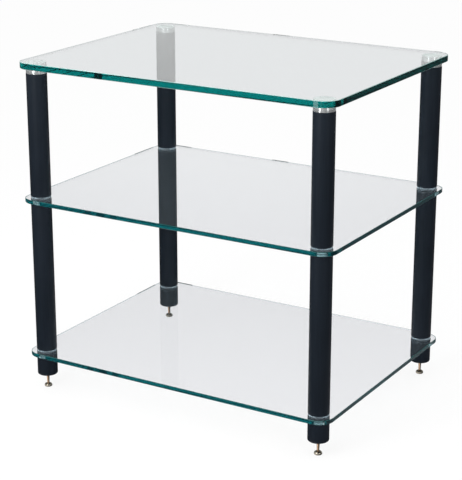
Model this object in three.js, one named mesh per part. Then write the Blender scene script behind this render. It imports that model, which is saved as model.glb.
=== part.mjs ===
// A free-standing rack for audio equipment: three glass shelves clamped between round posts, which
// are built up in segments, and stand on threaded spikes with floor pads.
// Millimetres, +Z up, +X to the right along the wide front, +Y to the back.
// The origin is on the floor, below the middle of the shelves.
import * as THREE from "three";

// Shelves: the outline is alike for all three, and the top glass is the thick one.
const shelfWidth = 640;
const shelfDepth = 480;
const topGlassThickness = 12;
const shelfGlassThickness = 8;
const arris = 0.8; // ground edge along the top and bottom of each glass
const postOverhang = 10; // glass beyond the side of a post

// Posts: tubes with solid ends, threaded along their axis.
const postDiameter = 38;
const postWall = 3;
const plugLength = 24; // solid end of a post
const postEdge = 0.5; // broken edge at a post's ends
const upperPostLength = 228;
const lowerPostLength = 290;
const footPostLength = 40;
const footEdgeRadius = 2.5; // rounded bottom edge of a foot post
const footClearance = 27; // floor to the underside of a foot post

// Discs and washers between the posts and the glass.
const discThickness = 10;
const discRecess = 0.4; // the disc's side lies this far inside the post's
const discEdge = 0.6;
const washerThickness = 3;
const washerRecess = 0.5;
const collarDiameter = 16; // collar of a washer, which lines the hole in the glass
const collarClearance = 0.4; // between the collar and the glass
const collarEndGap = 0.5; // from the collar's end to the underside of the glass

// Threaded studs.
const studDiameter = 8;
const studEdge = 0.8;
const threadClearance = 0.3; // between a stud and the wall of its bore
const studGrip = 18; // thread held in an upper or lower post
const footStudGrip = 13; // thread held in a foot post
const discBoreDepth = 7;
const studEndGap = 0.5; // from a stud's end to the bottom of its blind bore

// Levelling spikes and the pads below them.
const spikeDiameter = 6;
const spikeThreadLength = 16;
const spikeNeckDiameter = 4.6; // where the bare pin ends and the point starts
const spikePointSlope = 0.28; // of the point's side from the upright, in quarter turns
const spikeTipDiameter = 2;
const tipGap = 0.3; // between the spike's tip and the dimple
const padDiameter = 14.5;
const padHeight = 6.2;
const padFootEdge = 0.9; // chamfer round the pad's underside
const padRimHeight = 2.4; // top of the pad's upright side, where the dome starts
const dimpleDiameter = 5.8;
const dimpleFlatDiameter = 1;
const dimpleDepth = 3;

// Fineness of the round shapes.
const postSides = 28;
const studSides = 12;
const footSides = 20;
const holeSides = 24;
const cornerSides = 8; // round a quarter turn
const roundSteps = 3;

// Worked out from the sizes above.
const postRadius = postDiameter / 2;
const postInset = postRadius + postOverhang; // from a glass edge to a post's axis
const cornerRadius = postInset; // the glass corner runs round the post
const boreRadius = studDiameter / 2 + threadClearance;
const spikeBoreRadius = spikeDiameter / 2 + threadClearance;
const collarRadius = collarDiameter / 2;
const glassHoleRadius = collarRadius + collarClearance;
const axisX = shelfWidth / 2 - postInset;
const axisY = shelfDepth / 2 - postInset;

// Levels, from the floor up.
const footPostBottom = footClearance;
const lowerGlassBottom = footPostBottom + footPostLength;
const lowerGlassTop = lowerGlassBottom + shelfGlassThickness;
const lowerPostBottom = lowerGlassTop + washerThickness;
const middleGlassBottom = lowerPostBottom + lowerPostLength;
const middleGlassTop = middleGlassBottom + shelfGlassThickness;
const upperPostBottom = middleGlassTop + washerThickness;
const discBottom = upperPostBottom + upperPostLength;
const topGlassBottom = discBottom + discThickness;

const corners = [
  { name: "front_left", x: -axisX, y: -axisY },
  { name: "front_right", x: axisX, y: -axisY },
  { name: "back_left", x: -axisX, y: axisY },
  { name: "back_right", x: axisX, y: axisY },
];

const materials = {
  glass: new THREE.MeshStandardMaterial({
    color: 0xb9dcd4,
    roughness: 0.05,
    metalness: 0,
    opacity: 0.4,
    transparent: true,
  }),
  post: new THREE.MeshStandardMaterial({ color: 0x2a3038, roughness: 0.55, metalness: 0.2 }),
  polished: new THREE.MeshStandardMaterial({ color: 0xd4d8da, roughness: 0.15, metalness: 1 }),
  washer: new THREE.MeshStandardMaterial({ color: 0xb4bcc0, roughness: 0.35, metalness: 0 }),
  steel: new THREE.MeshStandardMaterial({ color: 0x9aa0a4, roughness: 0.4, metalness: 1 }),
  brass: new THREE.MeshStandardMaterial({ color: 0xb08d63, roughness: 0.3, metalness: 1 }),
  darkBrass: new THREE.MeshStandardMaterial({ color: 0x5a5138, roughness: 0.35, metalness: 1 }),
};

// A ring or solid of revolution about Z, from a profile of [radius, height] pairs that runs upwards
// on the outside. A ring's profile ends on the point where it starts.
function turned(profile, sides) {
  const points = profile.map(([radius, height]) => new THREE.Vector2(radius, height));
  const geometry = new THREE.LatheGeometry(points, sides);
  geometry.rotateX(Math.PI / 2);
  return geometry;
}

// Quarter arc in a profile, about a centre, from angle start to angle end in quarter turns.
function profileArc(centreRadius, centreHeight, radiusAcross, radiusUp, start, end, steps) {
  return Array.from({ length: steps + 1 }, (_, step) => {
    const angle = (start + ((end - start) * step) / steps) * (Math.PI / 2);
    return [centreRadius + radiusAcross * Math.cos(angle), centreHeight + radiusUp * Math.sin(angle)];
  });
}

// A glass plate with rounded corners and ground edges; holes go through it on the posts' axes.
// Each arc of a path is cut into twice as many sides as it is asked for.
function glassPlate(thickness, holed) {
  const x = shelfWidth / 2;
  const y = shelfDepth / 2;
  const outline = new THREE.Shape();
  outline.absarc(x - cornerRadius, y - cornerRadius, cornerRadius, 0, Math.PI / 2);
  outline.absarc(-x + cornerRadius, y - cornerRadius, cornerRadius, Math.PI / 2, Math.PI);
  outline.absarc(-x + cornerRadius, -y + cornerRadius, cornerRadius, Math.PI, Math.PI * 1.5);
  outline.absarc(x - cornerRadius, -y + cornerRadius, cornerRadius, Math.PI * 1.5, Math.PI * 2);
  const shape = new THREE.Shape(outline.getPoints(cornerSides / 2));
  if (holed) {
    for (const corner of corners) {
      const hole = new THREE.Path();
      hole.absarc(corner.x, corner.y, glassHoleRadius, 0, Math.PI * 2, true);
      shape.holes.push(new THREE.Path(hole.getPoints(holeSides / 2)));
    }
  }
  const geometry = new THREE.ExtrudeGeometry(shape, {
    depth: thickness - 2 * arris,
    bevelThickness: arris,
    bevelSize: arris,
    bevelOffset: -arris,
    bevelSegments: 1,
    steps: 1,
  });
  geometry.translate(0, 0, arris);
  return geometry;
}

// A post segment: a tube with solid ends, bored through on its axis.
function hollowPost(length) {
  const inner = postRadius - postWall;
  return turned(
    [
      [boreRadius, 0],
      [postRadius - postEdge, 0],
      [postRadius, postEdge],
      [postRadius, length - postEdge],
      [postRadius - postEdge, length],
      [boreRadius, length],
      [boreRadius, length - plugLength],
      [inner, length - plugLength],
      [inner, plugLength],
      [boreRadius, plugLength],
      [boreRadius, 0],
    ],
    postSides,
  );
}

// The short post below the lower shelf: solid, its bottom edge rounded, bored from above for the
// stud and from below for the spike.
function footPost() {
  const studBoreBottom = footPostLength - footStudGrip - studEndGap;
  const rounded = profileArc(
    postRadius - footEdgeRadius,
    footEdgeRadius,
    footEdgeRadius,
    footEdgeRadius,
    -1,
    0,
    roundSteps,
  );
  return turned(
    [
      [spikeBoreRadius, 0],
      ...rounded,
      [postRadius, footPostLength - postEdge],
      [postRadius - postEdge, footPostLength],
      [boreRadius, footPostLength],
      [boreRadius, studBoreBottom],
      [spikeBoreRadius, studBoreBottom],
      [spikeBoreRadius, 0],
    ],
    postSides,
  );
}

// The polished disc under the top glass, with a blind threaded bore from below.
function topDisc() {
  const radius = postRadius - discRecess;
  return turned(
    [
      [0, discBoreDepth],
      [boreRadius, discBoreDepth],
      [boreRadius, 0],
      [radius - discEdge, 0],
      [radius, discEdge],
      [radius, discThickness - discEdge],
      [radius - discEdge, discThickness],
      [0, discThickness],
    ],
    postSides,
  );
}

// A flat ring as wide as the post, whose collar goes down into the hole in the glass. Heights are
// from the top of the glass.
function washer() {
  const radius = postRadius - washerRecess;
  const collarBottom = collarEndGap - shelfGlassThickness;
  return turned(
    [
      [boreRadius, collarBottom],
      [collarRadius, collarBottom],
      [collarRadius, 0],
      [radius, 0],
      [radius, washerThickness],
      [boreRadius, washerThickness],
      [boreRadius, collarBottom],
    ],
    postSides,
  );
}

// A threaded rod, drawn at its outer diameter, with chamfered ends.
function stud(length) {
  const radius = studDiameter / 2;
  return turned(
    [
      [0, 0],
      [radius - studEdge, 0],
      [radius, studEdge],
      [radius, length - studEdge],
      [radius - studEdge, length],
      [0, length],
    ],
    studSides,
  );
}

// Height of the spike's tip above the floor, which leaves the gap to the dimple's floor.
const tipHeight = padHeight - dimpleDepth + tipGap;

// The levelling spike: a rounded tip, a short point and a pin that widens a little up to the
// threaded shank.
function levellingSpike() {
  const tipRadius = spikeTipDiameter / 2;
  const neckRadius = spikeNeckDiameter / 2;
  const shankRadius = spikeDiameter / 2;
  const tip = profileArc(0, tipRadius, tipRadius, tipRadius, -1, -spikePointSlope, roundSteps);
  const [pointRadius, pointBottom] = tip.at(-1);
  const pointSlope = Math.tan(spikePointSlope * (Math.PI / 2));
  const shankBottom = footPostBottom - tipHeight;
  const shankTop = shankBottom + spikeThreadLength;
  return turned(
    [
      ...tip,
      [neckRadius, pointBottom + (neckRadius - pointRadius) / pointSlope],
      [shankRadius, shankBottom],
      [shankRadius, shankTop - studEdge],
      [shankRadius - studEdge, shankTop],
      [0, shankTop],
    ],
    footSides,
  );
}

// The floor pad: a low domed button with a dimple in its top.
function spikePad() {
  const radius = padDiameter / 2;
  const dimpleRadius = dimpleDiameter / 2;
  const dome = profileArc(
    dimpleRadius,
    padRimHeight,
    radius - dimpleRadius,
    padHeight - padRimHeight,
    0,
    1,
    roundSteps,
  );
  return turned(
    [
      [0, 0],
      [radius - padFootEdge, 0],
      [radius, padFootEdge],
      ...dome,
      [dimpleFlatDiameter / 2, padHeight - dimpleDepth],
      [0, padHeight - dimpleDepth],
    ],
    footSides,
  );
}

const rack = new THREE.Group();

function add(name, geometry, material, x, y, z) {
  const mesh = new THREE.Mesh(geometry, material);
  mesh.name = name;
  mesh.position.set(x, y, z);
  rack.add(mesh);
}

add("lower_shelf", glassPlate(shelfGlassThickness, true), materials.glass, 0, 0, lowerGlassBottom);
add("middle_shelf", glassPlate(shelfGlassThickness, true), materials.glass, 0, 0, middleGlassBottom);
add("top_shelf", glassPlate(topGlassThickness, false), materials.glass, 0, 0, topGlassBottom);

// One column of each kind of piece, from the floor up: its name, shape, material and lowest level.
const throughGlass = washerThickness + shelfGlassThickness;
const lowerStudLength = footStudGrip + throughGlass + studGrip;
const middleStudLength = studGrip + throughGlass + studGrip;
const topStudLength = studGrip + discBoreDepth - studEndGap;
const column = [
  ["spike_pad", spikePad, materials.darkBrass, 0],
  ["levelling_spike", levellingSpike, materials.brass, tipHeight],
  ["foot_post", footPost, materials.post, footPostBottom],
  ["lower_stud", () => stud(lowerStudLength), materials.steel, lowerGlassBottom - footStudGrip],
  ["lower_washer", washer, materials.washer, lowerGlassTop],
  ["lower_post", () => hollowPost(lowerPostLength), materials.post, lowerPostBottom],
  ["middle_stud", () => stud(middleStudLength), materials.steel, middleGlassBottom - studGrip],
  ["middle_washer", washer, materials.washer, middleGlassTop],
  ["upper_post", () => hollowPost(upperPostLength), materials.post, upperPostBottom],
  ["top_stud", () => stud(topStudLength), materials.steel, discBottom - studGrip],
  ["top_disc", topDisc, materials.polished, discBottom],
];

for (const [piece, shape, material, level] of column) {
  for (const corner of corners) {
    add(`${piece}_${corner.name}`, shape(), material, corner.x, corner.y, level);
  }
}

export default rack;
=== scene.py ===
"""Looks for the glass audio equipment rack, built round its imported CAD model.

Metres, +Z up, +X to the right along the wide front, +Y to the back, origin on the floor below the
middle of the shelves. Every piece takes its place and size from the CAD node that it stands for.
"""

import math

import bmesh
import bpy
import numpy as np
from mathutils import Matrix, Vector


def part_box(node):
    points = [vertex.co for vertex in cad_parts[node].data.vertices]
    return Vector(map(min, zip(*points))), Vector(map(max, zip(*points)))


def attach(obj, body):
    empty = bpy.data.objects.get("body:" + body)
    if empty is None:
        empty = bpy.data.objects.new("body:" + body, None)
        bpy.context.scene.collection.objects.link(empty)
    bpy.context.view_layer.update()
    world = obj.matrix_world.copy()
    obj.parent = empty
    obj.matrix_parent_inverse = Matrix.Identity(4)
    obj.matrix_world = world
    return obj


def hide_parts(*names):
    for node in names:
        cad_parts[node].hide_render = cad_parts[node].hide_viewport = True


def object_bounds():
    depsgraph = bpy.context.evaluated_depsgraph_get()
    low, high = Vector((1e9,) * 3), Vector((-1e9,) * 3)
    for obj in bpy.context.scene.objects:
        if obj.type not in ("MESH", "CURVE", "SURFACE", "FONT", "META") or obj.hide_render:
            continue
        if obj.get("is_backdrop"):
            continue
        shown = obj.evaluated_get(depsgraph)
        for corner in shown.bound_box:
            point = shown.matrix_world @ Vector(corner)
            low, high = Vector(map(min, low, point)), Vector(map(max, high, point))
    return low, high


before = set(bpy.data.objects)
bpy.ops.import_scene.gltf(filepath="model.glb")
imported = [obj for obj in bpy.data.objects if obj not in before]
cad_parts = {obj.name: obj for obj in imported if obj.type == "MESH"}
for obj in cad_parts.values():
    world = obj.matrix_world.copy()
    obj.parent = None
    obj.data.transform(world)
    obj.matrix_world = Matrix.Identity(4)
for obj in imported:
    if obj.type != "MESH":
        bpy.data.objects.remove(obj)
scene = bpy.context.scene
cad_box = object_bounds()

CORNERS = ("front_left", "front_right", "back_left", "back_right")
MM = 0.001

# Sizes that the boxes of the CAD pieces don't give.

# Glass: the ground bevel along its edges, and the holes for the studs.
ARRIS = 0.8 * MM
GLASS_HOLE_RADIUS = 8.4 * MM

# Posts: the bore for the studs, the tube's wall, its solid ends, and the rounding of the edges.
BORE_RADIUS = 4.3 * MM
POST_WALL = 3 * MM
POST_PLUG = 24 * MM
POST_EDGE = 0.5 * MM
FOOT_EDGE = 2.5 * MM
STUD_BORE_DEPTH = 13.5 * MM
SPIKE_BORE_RADIUS = 3.3 * MM

# Washers and discs.
COLLAR_RADIUS = 8 * MM
WASHER_THICKNESS = 3 * MM
WASHER_EDGE = 0.35 * MM
DISC_EDGE = 0.6 * MM
DISC_BORE_DEPTH = 7 * MM

# Threads: pitch, depth as a share of it, and how far the ends step in and are chamfered.
STUD_PITCH = 1.25 * MM
SPIKE_PITCH = 1 * MM
THREAD_DEPTH_SHARE = 0.44
END_STEP = 0.2 * MM
END_CHAMFER = 0.3 * MM

# Spikes: the threaded shank, the smooth shoulder below it and the thread's run-out, the neck
# above the point, its blend into the point, the point's slope off the upright in quarter turns.
SHANK_LENGTH = 16 * MM
SHOULDER_LENGTH = 0.6 * MM
RUN_OUT = 1 * MM
NECK_RADIUS = 2.3 * MM
NECK_BLEND = 0.1 * MM
POINT_SLOPE = 0.28
TIP_RADIUS = 1 * MM

# Pads: the dimple, its flat bottom, the upright rim and the small bevel on the floor.
DIMPLE_DEPTH = 3 * MM
DIMPLE_RADIUS = 2.9 * MM
DIMPLE_FLAT_RADIUS = 0.5 * MM
PAD_RIM = 2.4 * MM
PAD_FOOT_EDGE = 0.9 * MM

# Faces that would share a place with the glass are held this far off it, or into it. Points that
# are nearer than the last length are taken as one.
GLUE = 0.04 * MM
AIR_FILM = 0.03 * MM
SAME_PLACE = 0.002 * MM

# How finely round pieces are divided: sides round the axis, and rows to a turn of a thread.
ROUND_SIDES = 96
STUD_SIDES, STUD_ROWS = 28, 7
SPIKE_SIDES, SPIKE_ROWS = 40, 8

# Steps of the glass's grid: round a corner's quarter circle, across the square about a post's
# axis, and from one square to the next.
FINE, COARSE, MIDDLE = 24, 8, 14

GLASS_IOR = 1.52


# Shapes


def piece(name, points, faces, material, body="rack", stands_for=(), slot=None, crease=32):
    """A mesh object from points and faces. Points that share a place are joined, faces are turned
    outwards, and edges sharper than the crease angle, in degrees, are kept crisp."""
    mesh = bpy.data.meshes.new(name)
    mesh.from_pydata(points.reshape(-1, 3), [], faces.tolist())
    work = bmesh.new()
    work.from_mesh(mesh)
    bmesh.ops.remove_doubles(work, verts=work.verts, dist=SAME_PLACE)
    bmesh.ops.recalc_face_normals(work, faces=work.faces)
    work.to_mesh(mesh)
    work.free()
    mesh.shade_smooth()
    mesh.set_sharp_from_angle(angle=math.radians(crease))
    mesh.materials.append(material)
    made = bpy.data.objects.new(name, mesh)
    scene.collection.objects.link(made)
    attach(made, body)
    if stands_for:
        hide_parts(*stands_for)
    return made


def grid_faces(rows, columns, around=False):
    """Quads of a grid of rows x columns points, numbered row by row. Around joins the last column
    to the first."""
    index = np.arange(rows * columns).reshape(rows, columns)
    if around:
        index = np.hstack([index, index[:, :1]])
    quads = np.stack([index[:-1, :-1], index[:-1, 1:], index[1:, 1:], index[1:, :-1]], -1)
    return quads.reshape(-1, 4)


def gathered(parts):
    """Several (points, quads) grids as one set of points and quads."""
    points, faces, count = [], [], 0
    for some, quads in parts:
        flat = some.reshape(-1, 3)
        points.append(flat)
        faces.append(quads + count)
        count += len(flat)
    return np.concatenate(points), np.concatenate(faces)


def arc(centre, radius, start, end, steps):
    """Profile points on a circle: (centre r + radius cos t, centre z + radius sin t), with t in
    quarter turns from start to end."""
    t = np.linspace(start, end, steps + 1) * (math.pi / 2)
    return list(zip(centre[0] + radius * np.cos(t), centre[1] + radius * np.sin(t)))


def carried_round(radii, heights, sides, centre):
    """Rows of points round a vertical axis, and the quads between the rows: the point at turn a
    is (x + r cos a, y + r sin a, height)."""
    turn = np.arange(sides) * (2 * math.pi / sides)
    x = centre[0] + radii * np.cos(turn)
    y = centre[1] + radii * np.sin(turn)
    points = np.stack([x, y, np.broadcast_to(heights, x.shape)], -1)
    return points, grid_faces(len(radii), sides, around=True)


def turned(profile, sides, centre):
    """A profile of (radius, height) pairs carried round a vertical axis."""
    profile = np.array(profile)
    return carried_round(profile[:, :1], profile[:, 1:], sides, centre)


def threaded(radius, pitch, low, high, sides, rows_per_turn, centre, end_low, end_high):
    """A right-hand thread between two heights. The radius is the core's plus the thread's depth
    times a wave of (height / pitch - turns): a triangle whose crest and root are cut flat over
    an eighth of a turn. It fades out over one pitch at each end. Each end closes on the (radius,
    height) points that are given."""
    rows = int((high - low) / pitch * rows_per_turn)
    height = np.linspace(low, high, rows)[:, None]
    phase = (height / pitch - np.arange(sides) / sides) % 1
    wave = np.clip(1.25 * np.abs(2 * phase - 1) - 0.125, 0, 1)
    fade = np.clip((height - low) / pitch, 0, 1) * np.clip((high - height) / pitch, 0, 1)
    core = radius - THREAD_DEPTH_SHARE * pitch
    flank = core + (radius - core) * wave * fade
    below, above = np.array(end_low), np.array(end_high)
    radii = np.concatenate([np.tile(below[:, :1], sides), flank, np.tile(above[:, :1], sides)])
    heights = np.concatenate([below[:, 1:], height, above[:, 1:]])
    return carried_round(radii, heights, sides, centre)


def place(node):
    """Axis (x, y), radius, lowest and highest level of a round CAD node."""
    low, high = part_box(node)
    middle = (low + high) / 2
    return (middle.x, middle.y), (high.x - low.x) / 2, low.z, high.z


def at_level(x, y, level):
    """Points from their x and y, all at one height."""
    return np.stack([x, y, np.full_like(x, level)], -1)


def grid_lines(at, inset):
    """Where the lines of the glass's grid cross one direction: even steps across the squares
    about the posts' axes, which stand at this distance from the middle, and between them."""
    step = np.linspace(-1, 1, COARSE + 1)
    outer = at + np.where(step > 0, step * (inset - ARRIS), step * inset)
    between = np.linspace(-(at - inset), at - inset, MIDDLE + 1)
    return np.concatenate([-outer[::-1], between[1:-1], outer])


def grid_without_corners(xs, ys):
    """The x and y where two sets of lines cross, and the quads outside the corners' squares."""
    across, along = np.meshgrid(xs, ys)
    row, column = np.arange(len(ys) - 1), np.arange(len(xs) - 1)
    outer_row = (row < COARSE) | (row >= len(row) - COARSE)
    outer_column = (column < COARSE) | (column >= len(column) - COARSE)
    in_corner = np.outer(outer_row, outer_column).ravel()
    return across, along, grid_faces(len(ys), len(xs))[~in_corner]


def corner_ring(inset, hole):
    """Two loops about a post's axis, as their x and their y: the stud's hole, and a loop that is
    a quarter circle outside and a square inside. Both are walked in four equal parts, of which
    the first is the rounded one."""
    way = np.concatenate([np.arange(FINE) / FINE, 1 + np.arange(3 * COARSE) / COARSE])
    turn = way * (math.pi / 2)

    def square(t):
        """Across a square of half side 1, as its perimeter is walked in four equal parts."""
        return np.clip(2 * np.abs(t % 4 - 2) - 2, -1, 1)

    loops = []
    for rounded, straight in ((np.cos(turn), square(way)), (np.sin(turn), square(way - 1))):
        reach = np.where(way < 1, rounded, straight)
        reach = reach * np.where(reach > 0, inset - ARRIS, inset)
        loops.append(np.stack([hole * rounded, reach]))
    return loops


def glass_outline(high, axis, xs, ys):
    """The plate's outline and the way it faces, corner by corner anticlockwise: a quarter circle
    about each post's axis, then the straight run after it, with a point at every grid line."""
    quarter = np.linspace(0, 1, FINE + 1) * (math.pi / 2)
    outline, facing = [], []
    for k, (sx, sy) in enumerate(((1, -1), (1, 1), (-1, 1), (-1, -1))):
        angle = quarter + (k - 1) * (math.pi / 2)
        away = np.stack([np.cos(angle), np.sin(angle)], -1)
        outline.append(np.array([sx * axis[0], sy * axis[1]]) + (high.x - axis[0]) * away)
        facing.append(away)
        along_y = k % 2 == 0
        lines, reach, edge = (ys, axis[1], high.x) if along_y else (xs, axis[0], high.y)
        run = lines[np.abs(lines) < reach - SAME_PLACE]
        if k in (1, 2):
            run = run[::-1]
        fixed = np.full(len(run), edge if k < 2 else -edge)
        outline.append(np.stack((fixed, run) if along_y else (run, fixed), -1))
        facing.append(np.tile(away[-1], (len(run), 1)))
    return np.concatenate(outline), np.concatenate(facing)


def shelf_glass_shape(node, holed):
    """A plate with corners rounded about the posts' axes, its edges ground off at 45 degrees.

    Each flat face is a grid of straight lines, but about each post's axis it is a ring from the
    stud's hole to the corner's loop. The side is the outline carried through four levels, the
    outer two drawn in by the ground edge. The corner's radius is the glass's reach past the
    posts' axes, in both directions."""
    low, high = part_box(node)
    axis, _, _, _ = place("foot_post_back_right")
    inset = high.x - axis[0]
    faces = (low.z, high.z)
    xs, ys = grid_lines(axis[0], inset), grid_lines(axis[1], inset)
    across, along, quads = grid_without_corners(xs, ys)
    parts = [(at_level(across, along, level), quads) for level in faces]

    ring_x, ring_y = corner_ring(inset, GLASS_HOLE_RADIUS if holed else 0.0)
    ring_quads = grid_faces(*ring_x.shape, around=True)
    for sx, sy in ((-1, -1), (-1, 1), (1, -1), (1, 1)):
        x, y = sx * (axis[0] + ring_x), sy * (axis[1] + ring_y)
        parts += [(at_level(x, y, level), ring_quads) for level in faces]
        if holed:
            bore = np.stack([at_level(x[0], y[0], level) for level in faces])
            parts.append((bore, ring_quads))

    outline, facing = glass_outline(high, axis, xs, ys)
    levels = [(ARRIS, low.z), (0, low.z + ARRIS), (0, high.z - ARRIS), (ARRIS, high.z)]
    band = [at_level(*(outline - drawn_in * facing).T, level) for drawn_in, level in levels]
    parts.append((np.stack(band), grid_faces(len(levels), len(outline), around=True)))
    return gathered(parts)


# Materials


class Signal:
    """A socket in a node tree. A sum written with it adds the Math nodes that the sum needs."""

    def __init__(self, nodes, socket):
        self.nodes, self.socket = nodes, socket

    def math(self, operation, *values):
        return self.nodes.add("ShaderNodeMath", {"operation": operation}, dict(enumerate(values)))

    def __add__(self, other):
        return self.math("ADD", self, other)

    def __sub__(self, other):
        return self.math("SUBTRACT", self, other)

    def __rsub__(self, other):
        return self.math("SUBTRACT", other, self)

    def __mul__(self, other):
        return self.math("MULTIPLY", self, other)

    def __gt__(self, other):
        return self.math("GREATER_THAN", self, other)

    def __abs__(self):
        return self.math("ABSOLUTE", self)

    __radd__ = __add__
    __rmul__ = __mul__

    def between(self, low, high, bottom=0.0, top=1.0):
        """Rises smoothly from bottom to top as this goes from low to high."""
        return self.nodes.add(
            "ShaderNodeMapRange",
            {"interpolation_type": "SMOOTHSTEP"},
            {0: self, 1: low, 2: high, 3: bottom, 4: top},
        )


class Nodes:
    """The node tree of a material or of the world, filled by add alone."""

    def __init__(self, owner):
        owner.use_nodes = True
        self.kind = "World" if isinstance(owner, bpy.types.World) else "Material"
        self.tree = owner.node_tree
        self.tree.nodes.clear()

    def add(self, kind, settings=None, inputs=None, output=0):
        """Adds a node, applies its settings, then its sockets' values and links, and gives one
        of its outputs."""
        node = self.tree.nodes.new(kind)
        for name, value in (settings or {}).items():
            setattr(node, name, value)
        for name, value in (inputs or {}).items():
            if isinstance(value, Signal):
                self.tree.links.new(value.socket, node.inputs[name])
            else:
                node.inputs[name].default_value = value
        return Signal(self, node.outputs[output])

    def spot(self):
        """The place on the piece, in metres."""
        return self.add("ShaderNodeTexCoord", output="Object")

    def part(self, vector, axis):
        """One of a vector's three parts, X, Y or Z."""
        return self.add("ShaderNodeSeparateXYZ", inputs={"Vector": vector}, output=axis)

    def vector(self, operation, *values, output=0):
        kind, settings = "ShaderNodeVectorMath", {"operation": operation}
        return self.add(kind, settings, dict(enumerate(values)), output)

    def stretched(self, scale):
        """The place, scaled along each axis."""
        return self.add("ShaderNodeMapping", inputs={"Vector": self.spot(), "Scale": scale})

    def noise(self, scale, detail=2.0, stretch=(1, 1, 1)):
        """Soft random change, about 0.5, with scale features to a metre."""
        inputs = {"Vector": self.stretched(stretch), "Scale": scale, "Detail": detail}
        return self.add("ShaderNodeTexNoise", inputs=inputs)

    def mixed(self, factor, first, second):
        """One colour, or a mix of two by a factor."""
        inputs = {0: factor, 6: first, 7: second}
        return self.add("ShaderNodeMix", {"data_type": "RGBA"}, inputs, output=2)

    def wandering(self, noise, first, second):
        """A colour that wanders between two with a noise."""
        return self.mixed(noise.between(0.3, 0.7), first, second)

    def principled(self, inputs):
        return self.add("ShaderNodeBsdfPrincipled", inputs=inputs)

    def layered(self, factor, first, second):
        """One surface, or a mix of two by a factor."""
        return self.add("ShaderNodeMixShader", inputs={0: factor, 1: first, 2: second})

    def matt(self, colour):
        return self.add("ShaderNodeBsdfDiffuse", inputs={"Color": colour})

    def see_through(self, colour):
        return self.add("ShaderNodeBsdfTransparent", inputs={"Color": colour})

    def glow(self, colour, strength):
        return self.add("ShaderNodeEmission", inputs={"Color": colour, "Strength": strength})

    def bump(self, height, distance, strength=1.0):
        inputs = {"Height": height, "Distance": distance, "Strength": strength}
        return self.add("ShaderNodeBump", inputs=inputs)

    def ends(self, surface, volume=None):
        """Leads the surface, and what fills the inside, to the tree's output."""
        output = self.tree.nodes.new(f"ShaderNodeOutput{self.kind}")
        self.tree.links.new(surface.socket, output.inputs["Surface"])
        if volume:
            self.tree.links.new(volume.socket, output.inputs["Volume"])


def finish_named(name):
    made = bpy.data.materials.new(name)
    return made, Nodes(made)


def ray_is(n, ray):
    """1 for light paths of one kind, such as those from the camera, otherwise 0."""
    return n.add("ShaderNodeLightPath", output=f"Is {ray} Ray")


def mirrored(n, times):
    """1 for light paths that were mirrored at least this many times. Those that leave the glass
    by an edge were mirrored many times on the way there, between its flat faces."""
    depth = n.add("ShaderNodeLightPath", output="Glossy Depth")
    return depth > times - 0.5


def blue_black_coat():
    """Matte blue-black coat with a fine drawn grain along the post."""
    made, n = finish_named("blue_black_coat")
    grain = n.noise(900.0, 2.0, (1, 1, 0.02))
    speckle = n.noise(1400.0, 1.0)
    cloud = n.noise(14.0, 2.0)
    tone = grain * 0.5 + speckle * 0.2 + cloud * 0.3
    blue, paler = (0.0096, 0.0141, 0.0206, 1), (0.0137, 0.0196, 0.0287, 1)
    surface = n.principled(
        {
            "Base Color": n.wandering(tone, blue, paler),
            "Roughness": 0.4 + 0.16 * speckle,
            "IOR": 1.4,
            "Specular IOR Level": 0.16,
            "Normal": n.bump(speckle + 0.4 * grain, 0.05 * MM, 0.6),
        }
    )
    n.ends(surface)
    return made


def clear_glass(name, edge_colour, long_way_colour, long_way_turns, haze, satin):
    """Clear float glass. What is seen by a short way through a ground edge is only tinted, but
    light that was mirrored many times between the flat faces leaves an edge a deep green. Haze
    is the share of fine dust on the flat faces, satin the share of an edge that scatters."""
    made, n = finish_named(name)
    upright = abs(n.part(n.add("ShaderNodeNewGeometry", output="Normal"), "Z"))
    edge = upright.between(0.3, 0.6, 1.0, 0.0)
    inside = n.add("ShaderNodeNewGeometry", output="Backfacing")
    outside = 1.0 - inside
    tint = n.mixed(edge * outside, (1, 1, 1, 1), edge_colour)
    long_way = edge * inside * mirrored(n, long_way_turns)
    glass = n.principled(
        {
            "Base Color": n.mixed(long_way, tint, long_way_colour),
            "Roughness": 0.0,
            "IOR": GLASS_IOR,
            "Transmission Weight": 1.0,
        }
    )
    dust, teal = n.matt((0.8, 0.93, 1.0, 1)), n.matt((0.0, 0.2, 0.26, 1))
    dusty = n.layered(haze * (1.0 - edge) * outside, glass, dust)
    ground = n.layered(satin * edge * outside, dusty, teal)
    shade = n.see_through((0.9, 0.92, 0.92, 1))
    surface = n.layered(ray_is(n, "Shadow"), ground, shade)
    green = {"Color": (0.0, 0.42, 0.4, 1), "Density": 4.6}
    n.ends(surface, n.add("ShaderNodeVolumeAbsorption", inputs=green))
    return made


def ground_bevel(name, deep, pale):
    """Satin bevel, pale where the grinding wheel left the glass frosted. From inside the glass it
    is painted near black, a painted shade, but straight through a flat face it is clear."""
    made, n = finish_named(name)
    frost = n.noise(700.0, 3.0)
    inside = n.add("ShaderNodeNewGeometry", output="Backfacing")
    # Painted shade: seen from inside the glass the bevel takes a near-black colour, which keeps
    # the edges dark.
    painted_shade_inside = (0.002, 0.012, 0.012, 1)
    satin = n.principled(
        {
            "Base Color": n.mixed(inside, n.wandering(frost, deep, pale), painted_shade_inside),
            "Roughness": 0.25 + 0.2 * frost,
            "IOR": GLASS_IOR,
        }
    )
    straight = inside * (1.0 - mirrored(n, 1))
    n.ends(n.layered(straight, satin, n.see_through((0.93, 0.97, 0.96, 1))))
    return made


def bare_post_end():
    """Dark grey end of a post, under the washers."""
    made, n = finish_named("bare_post_end")
    mottle = n.noise(300.0, 3.0)
    surface = n.principled(
        {
            "Base Color": n.mixed(mottle, (0.04, 0.046, 0.06, 1), (0.07, 0.08, 0.1, 1)),
            "Roughness": 0.5 + 0.2 * mottle,
            "Specular IOR Level": 0.2,
        }
    )
    n.ends(surface)
    return made


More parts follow.
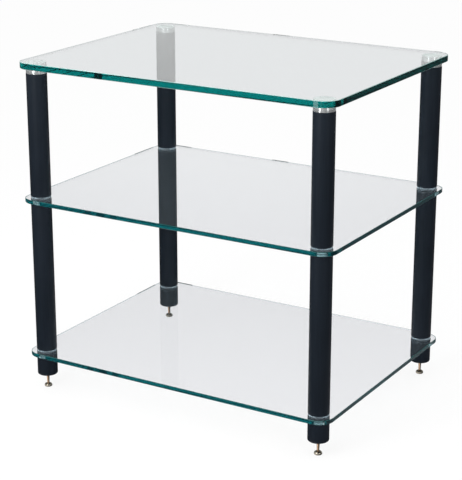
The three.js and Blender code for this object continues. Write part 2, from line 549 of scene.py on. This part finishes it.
def turned_aluminium():
    """Polished metal whose fine turning marks draw its highlights out along the axis."""
    made, n = finish_named("turned_aluminium")
    surface = n.principled(
        {
            "Base Color": (0.84, 0.86, 0.86, 1),
            "Metallic": 0.8,
            "Roughness": 0.2 + 0.08 * n.noise(2200.0, 1.0),
            "Anisotropic": 0.9,
            "Anisotropic Rotation": 0.25,
        }
    )
    n.ends(surface)
    return made


def glued_metal():
    """Metal face seen through clear glue: pale from above, a mirror at a low angle."""
    made, n = finish_named("glued_metal")
    low_angle = n.add("ShaderNodeLayerWeight", inputs={"Blend": 0.5}, output="Facing")
    mirror = low_angle.between(0.4, 0.7)
    cloud = n.noise(300.0, 3.0)
    surface = n.principled(
        {
            "Base Color": n.wandering(cloud, (0.86, 0.9, 0.88, 1), (0.78, 0.83, 0.81, 1)),
            "Metallic": mirror,
            "Roughness": 0.4 * (1.0 - mirror) + 0.02 * cloud,
        }
    )
    n.ends(surface)
    return made


def frosted_plastic():
    """Clear plastic with a frosted surface, which lets light through from the side."""
    made, n = finish_named("frosted_plastic")
    surface = n.principled(
        {
            "Base Color": (0.54, 0.7, 0.79, 1),
            "Roughness": 0.2 + 0.1 * n.noise(600.0),
            "IOR": 1.45,
            "Transmission Weight": 0.85,
        }
    )
    n.ends(surface)
    return made


def pale_matte(name, colour, darker):
    """A pale matte face, a little cloudy."""
    made, n = finish_named(name)
    cloud = n.noise(400.0, 3.0)
    colours = n.wandering(cloud, colour, darker)
    n.ends(n.principled({"Base Color": colours, "Roughness": 0.4 + 0.2 * cloud}))
    return made


def plain_metal(name, colour, darker, roughness):
    """Bare metal with soft darker and duller patches."""
    made, n = finish_named(name)
    patch = n.noise(500.0, 3.0)
    surface = n.principled(
        {
            "Base Color": n.wandering(patch, colour, darker),
            "Metallic": 1.0,
            "Roughness": roughness + 0.15 * patch,
        }
    )
    n.ends(surface)
    return made


post_coat = blue_black_coat()
post_end = bare_post_end()
thick_glass = clear_glass(
    "thick_clear_glass",
    edge_colour=(0.03, 0.95, 0.9, 1),
    long_way_colour=(0.002, 0.97, 0.95, 1),
    long_way_turns=3,
    haze=0.0,
    satin=0.03,
)
thick_bevel = ground_bevel("thick_ground_bevel", (0.3, 0.5, 0.47, 1), (0.5, 0.68, 0.66, 1))
thin_glass = clear_glass(
    "thin_clear_glass",
    edge_colour=(0.5, 0.85, 0.86, 1),
    long_way_colour=(0.002, 0.22, 0.27, 1),
    long_way_turns=4,
    haze=0.02,
    satin=0.15,
)
thin_bevel = ground_bevel("thin_ground_bevel", (0.002, 0.06, 0.055, 1), (0.008, 0.1, 0.095, 1))
disc_metal = turned_aluminium()
bonded_face = glued_metal()
washer_plastic = frosted_plastic()
collar_plastic = pale_matte("collar_plastic", (0.92, 0.84, 0.88, 1), (0.8, 0.72, 0.77, 1))
stud_steel = plain_metal("stud_steel", (0.56, 0.57, 0.58, 1), (0.42, 0.43, 0.45, 1), 0.28)
spike_brass = plain_metal("spike_brass", (0.68, 0.49, 0.34, 1), (0.52, 0.36, 0.24, 1), 0.15)
pad_bronze = plain_metal("pad_bronze", (0.5, 0.46, 0.38, 1), (0.34, 0.31, 0.25, 1), 0.15)


# Pieces

for shelf, holed, glass, bevel in (
    ("top_shelf", False, thick_glass, thick_bevel),
    ("middle_shelf", True, thin_glass, thin_bevel),
    ("lower_shelf", True, thin_glass, thin_bevel),
):
    shape = shelf_glass_shape(shelf, holed)
    plate = piece(f"{shelf}_glass", *shape, glass, stands_for=[shelf], slot="glass").data
    plate.materials.append(bevel)
    for face in plate.polygons:
        slopes = 0.5 < abs(face.normal.z) < 0.9
        face.material_index = int(slopes)


def tube_profile(radius, low, high):
    """Outside and hollow of a post segment, its ends solid but for the thread's bore."""
    inner = radius - POST_WALL
    edge = POST_EDGE
    bottom, top = low + AIR_FILM, high - AIR_FILM
    return [
        (BORE_RADIUS, bottom),
        *arc((radius - edge, bottom + edge), edge, -1, 0, 4),
        *arc((radius - edge, top - edge), edge, 0, 1, 4),
        (BORE_RADIUS, top),
        (BORE_RADIUS, top - POST_PLUG),
        (inner, top - POST_PLUG),
        (inner, bottom + POST_PLUG),
        (BORE_RADIUS, bottom + POST_PLUG),
        (BORE_RADIUS, bottom),
    ]


def foot_profile(radius, low, high):
    """A solid short post, its bottom edge well rounded, bored from both ends."""
    step = high - STUD_BORE_DEPTH
    top = high - AIR_FILM
    return [
        (SPIKE_BORE_RADIUS, low),
        *arc((radius - FOOT_EDGE, low + FOOT_EDGE), FOOT_EDGE, -1, 0, 10),
        *arc((radius - POST_EDGE, top - POST_EDGE), POST_EDGE, 0, 1, 4),
        (BORE_RADIUS, top),
        (BORE_RADIUS, step),
        (SPIKE_BORE_RADIUS, step),
        (SPIKE_BORE_RADIUS, low),
    ]


def disc_profile(radius, low, high):
    """A disc with broken edges and a blind bore from below, its face in the glue of the glass."""
    edge = DISC_EDGE
    return [
        (0, low + DISC_BORE_DEPTH),
        (BORE_RADIUS, low + DISC_BORE_DEPTH),
        (BORE_RADIUS, low),
        *arc((radius - edge, low + edge), edge, -1, 0, 4),
        *arc((radius - edge, high - edge), edge, 0, 1, 4),
        (0, high + GLUE),
    ]


def washer_profile(radius, low, high):
    """A flat ring with rounded outer edges, an air film above the glass, and the collar that
    lines the hole in the glass below it."""
    edge = WASHER_EDGE
    flange = high - WASHER_THICKNESS + AIR_FILM
    return [
        (BORE_RADIUS, low),
        (COLLAR_RADIUS, low),
        (COLLAR_RADIUS, flange),
        *arc((radius - edge, flange + edge), edge, -1, 0, 4),
        *arc((radius - edge, high - edge), edge, 0, 1, 4),
        (BORE_RADIUS, high),
        (BORE_RADIUS, low),
    ]


def pad_profile(radius, low, high):
    """A low domed button: an upright rim, a quarter of an ellipse above it, a conical dimple."""
    dome = arc((0, 0), 1, 0, 1, 20)
    across, up = radius - DIMPLE_RADIUS, high - low - PAD_RIM
    return [
        (0, low),
        (radius - PAD_FOOT_EDGE, low),
        (radius, low + PAD_FOOT_EDGE),
        *[(DIMPLE_RADIUS + across * c, low + PAD_RIM + up * s) for c, s in dome],
        (DIMPLE_FLAT_RADIUS, high - DIMPLE_DEPTH),
        (0, high - DIMPLE_DEPTH),
    ]


def stud_shape(node):
    """A threaded rod whose ends are chamfered."""
    centre, radius, low, high = place(node)
    end_radius = radius - THREAD_DEPTH_SHARE * STUD_PITCH - END_STEP
    below = [(0, low), (end_radius, low)]
    above = [(end_radius, high), (0, high)]
    bottom, top = low + END_CHAMFER, high - END_CHAMFER
    return threaded(
        radius, STUD_PITCH, bottom, top, STUD_SIDES, STUD_ROWS, centre, below, above
    )


def spike_shape(node):
    """A rounded tip, a short point, a pin that widens a little, and the threaded shank."""
    centre, radius, low, high = place(node)
    shoulder = high - SHANK_LENGTH
    end_radius = radius - THREAD_DEPTH_SHARE * SPIKE_PITCH - END_STEP
    tip = arc((0, low + TIP_RADIUS), TIP_RADIUS, -1, -POINT_SLOPE, 6)
    point_radius, point_bottom = tip[-1]
    slope = math.tan(POINT_SLOPE * math.pi / 2)
    neck = point_bottom + (NECK_RADIUS - point_radius) / slope
    below = [
        *tip,
        (NECK_RADIUS - NECK_BLEND * slope, neck - NECK_BLEND),
        (NECK_RADIUS, neck + NECK_BLEND),
        (radius, shoulder),
        (radius, shoulder + SHOULDER_LENGTH),
    ]
    above = [(end_radius, high), (0, high)]
    bottom, top = shoulder + RUN_OUT, high - END_CHAMFER
    return threaded(
        radius, SPIKE_PITCH, bottom, top, SPIKE_SIDES, SPIKE_ROWS, centre, below, above
    )


# What stands on each post's axis: the piece, its profile, its finish and its material slot.
COLUMN = (
    ("foot_post", foot_profile, post_coat, "post"),
    ("lower_post", tube_profile, post_coat, "post"),
    ("upper_post", tube_profile, post_coat, "post"),
    ("lower_washer", washer_profile, washer_plastic, "washer"),
    ("middle_washer", washer_profile, washer_plastic, "washer"),
    ("top_disc", disc_profile, disc_metal, "disc"),
    ("spike_pad", pad_profile, pad_bronze, "pad"),
)


def is_end(face, high):
    """Whether a face is one of the post's flat ends."""
    return abs(face.normal.z) > 0.9


def is_bonded(face, high):
    """Whether a face is the disc's top, which is glued to the glass."""
    return face.center.z > high - DISC_EDGE / 2


def is_collar(face, high):
    """Whether a face lies below the washer's flange."""
    return face.center.z < high - WASHER_THICKNESS


# Pieces with a second finish, and which of their faces have it.
SECOND_FINISH = {
    "foot_post": (post_end, is_end),
    "lower_post": (post_end, is_end),
    "upper_post": (post_end, is_end),
    "lower_washer": (collar_plastic, is_collar),
    "middle_washer": (collar_plastic, is_collar),
    "top_disc": (bonded_face, is_bonded),
}
for corner in CORNERS:
    for kind, profile, material, slot in COLUMN:
        node = f"{kind}_{corner}"
        centre, radius, low, high = place(node)
        body = f"pad_{corner}" if kind == "spike_pad" else "rack"
        shape = turned(profile(radius, low, high), ROUND_SIDES, centre)
        mesh = piece(f"{node}_shown", *shape, material, body, [node], slot).data
        if kind in SECOND_FINISH:
            second, belongs = SECOND_FINISH[kind]
            mesh.materials.append(second)
            for face in mesh.polygons:
                face.material_index = int(belongs(face, high))
    for kind in ("lower_stud", "middle_stud", "top_stud"):
        node = f"{kind}_{corner}"
        piece(f"{node}_shown", *stud_shape(node), stud_steel, "rack", [node], "stud")
    node = f"levelling_spike_{corner}"
    piece(f"{node}_shown", *spike_shape(node), spike_brass, f"spike_{corner}", [node], "spike")


# Studio


def floor_finish():
    """White floor that keeps a little of the object's shadow for the camera. Other light sees it
    in its own brightness, where 1 is the picture's white.

    Through the glass it is white, a little brighter near the rack than far from it, and dim in
    front for light that leaves the glass by an edge. Matt finishes and reflections see it dim,
    but for a bright spot beside each foot and a pale strip at the rack's right."""
    made, n = finish_named("studio_floor")
    spot = n.spot()
    x, y = n.part(spot, "X"), n.part(spot, "Y")
    away = n.vector("LENGTH", spot, output="Value")
    through = away.between(0.35, 0.8, 1.08, 1.16) - away.between(0.7, 2.3, 0.0, 0.36)
    dim = mirrored(n, 3) * y.between(-0.7, 0.1, 0.7, 0.0)

    # The four feet are folded onto one corner, and the spots lie a little in front of them.
    folded = n.vector("ABSOLUTE", n.vector("ADD", spot, (0.02, 0.03, 0)))
    axis, _, _, _ = place("foot_post_back_right")
    from_foot = n.vector("DISTANCE", folded, (*axis, 0), output="Value")
    end = cad_box[1][0]
    strip = x.between(end + 0.02, end + 0.06) * x.between(end + 0.08, end + 0.78, 0.34, 0.0)
    bright = from_foot.between(0.02, 0.046, 1.0, 0.0) + strip

    camera, glossy = ray_is(n, "Camera"), ray_is(n, "Glossy")
    glass, diffuse = ray_is(n, "Transmission"), ray_is(n, "Diffuse")
    other = 0.07 + 0.24 * diffuse + glossy * bright
    strength = glass * through * (1.0 - dim) + (1.0 - glass) * other
    paper = n.layered(0.85, n.matt((0.9, 0.9, 0.9, 1)), n.glow((1, 1, 1, 1), 1.0))
    n.ends(n.layered(camera, n.glow((1.0, 0.985, 1.01, 1), strength), paper))
    return made


def room_light():
    """A room that is white behind the object. Matt finishes see pale walls and a bright ceiling,
    and reflections bright walls and a dark ceiling. Its front is dim for light that leaves the
    glass by an edge. Where walls and ceiling meet is given by a direction's Z, from -1 to 1."""
    room = bpy.data.worlds.new("studio_room")
    scene.world = room
    n = Nodes(room)
    toward = n.add("ShaderNodeTexCoord", output="Generated")
    back, up = n.part(toward, "Y"), n.part(toward, "Z")
    wall = up.between(0.23, 0.32, 0.86, 0.1)
    soft = up.between(0.4, 0.9, 0.26, 1.5)
    side = back.between(-0.5, 0.3, 0.3, 1.0)
    once, often = mirrored(n, 1), mirrored(n, 3)
    through = (1.0 - once) + (once - often) * wall + often * side
    camera, glass = ray_is(n, "Camera"), ray_is(n, "Transmission")
    mirror = ray_is(n, "Glossy") * (1.0 - glass)
    strength = camera + glass * through + mirror * wall + soft * (1.0 - camera - glass - mirror)
    light = {"Color": (1, 1, 1, 1), "Strength": strength}
    n.ends(n.add("ShaderNodeBackground", inputs=light))


# Soft lamps: name, place, width and height in metres, power in watts. They point at the rack.
LAMP_TARGET = (0, 0, 0.4)
LAMPS = (
    ("strip_front", (-0.15, -1.35, 0.75), 0.35, 1.3, 4),
    ("strip_high", (-0.15, -1.35, 1.25), 0.5, 1.0, 10),
    ("strip_right", (1.9, -1.05, 0.9), 0.25, 1.2, 4.5),
    ("soft_left", (-2.0, -1.6, 1.8), 1.4, 1.4, 8),
)


def studio():
    """A white floor, the room and the lamps, which neither the camera nor the glass shows."""
    half = 12.0
    points = np.array([[-half, -half, 0], [half, -half, 0], [half, half, 0], [-half, half, 0]])
    mesh = bpy.data.meshes.new("studio_floor")
    mesh.from_pydata(points, [], [[0, 1, 2, 3]])
    mesh.materials.append(floor_finish())
    floor = bpy.data.objects.new("studio_floor", mesh)
    scene.collection.objects.link(floor)
    floor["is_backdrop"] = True
    room_light()
    for name, spot, wide, tall, power in LAMPS:
        light = bpy.data.lights.new(name, "AREA")
        light.shape = "RECTANGLE"
        light.size, light.size_y = wide, tall
        light.energy = power
        lamp = bpy.data.objects.new(name, light)
        lamp.visible_camera = False
        lamp.visible_transmission = False
        scene.collection.objects.link(lamp)
        lamp.location = spot
        toward = Vector(LAMP_TARGET) - lamp.location
        lamp.rotation_euler = toward.to_track_quat("-Z", "Y").to_euler()


def camera():
    """The photograph's camera: its place and direction were fitted to points measured in it."""
    lens = bpy.data.cameras.new("camera")
    lens.sensor_width = 36
    lens.lens = 116.25
    lens.clip_end = 60
    eye = bpy.data.objects.new("camera", lens)
    scene.collection.objects.link(eye)
    azimuth, elevation = math.radians(30.96), math.radians(17.81)
    back = Vector(
        (
            math.sin(azimuth) * math.cos(elevation),
            -math.cos(azimuth) * math.cos(elevation),
            math.sin(elevation),
        )
    )
    eye.location = (1.4158, -2.37797, 1.17122)
    eye.rotation_euler = back.to_track_quat("Z", "Y").to_euler()
    scene.camera = eye


studio()
camera()
scene.view_settings.view_transform = "Standard"
# What the glass's edges show was mirrored many times between its faces on the way to them.
scene.cycles.max_bounces = 32
scene.cycles.transmission_bounces = 32
scene.cycles.glossy_bounces = 32
scene.cycles.transparent_max_bounces = 16

low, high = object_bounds()
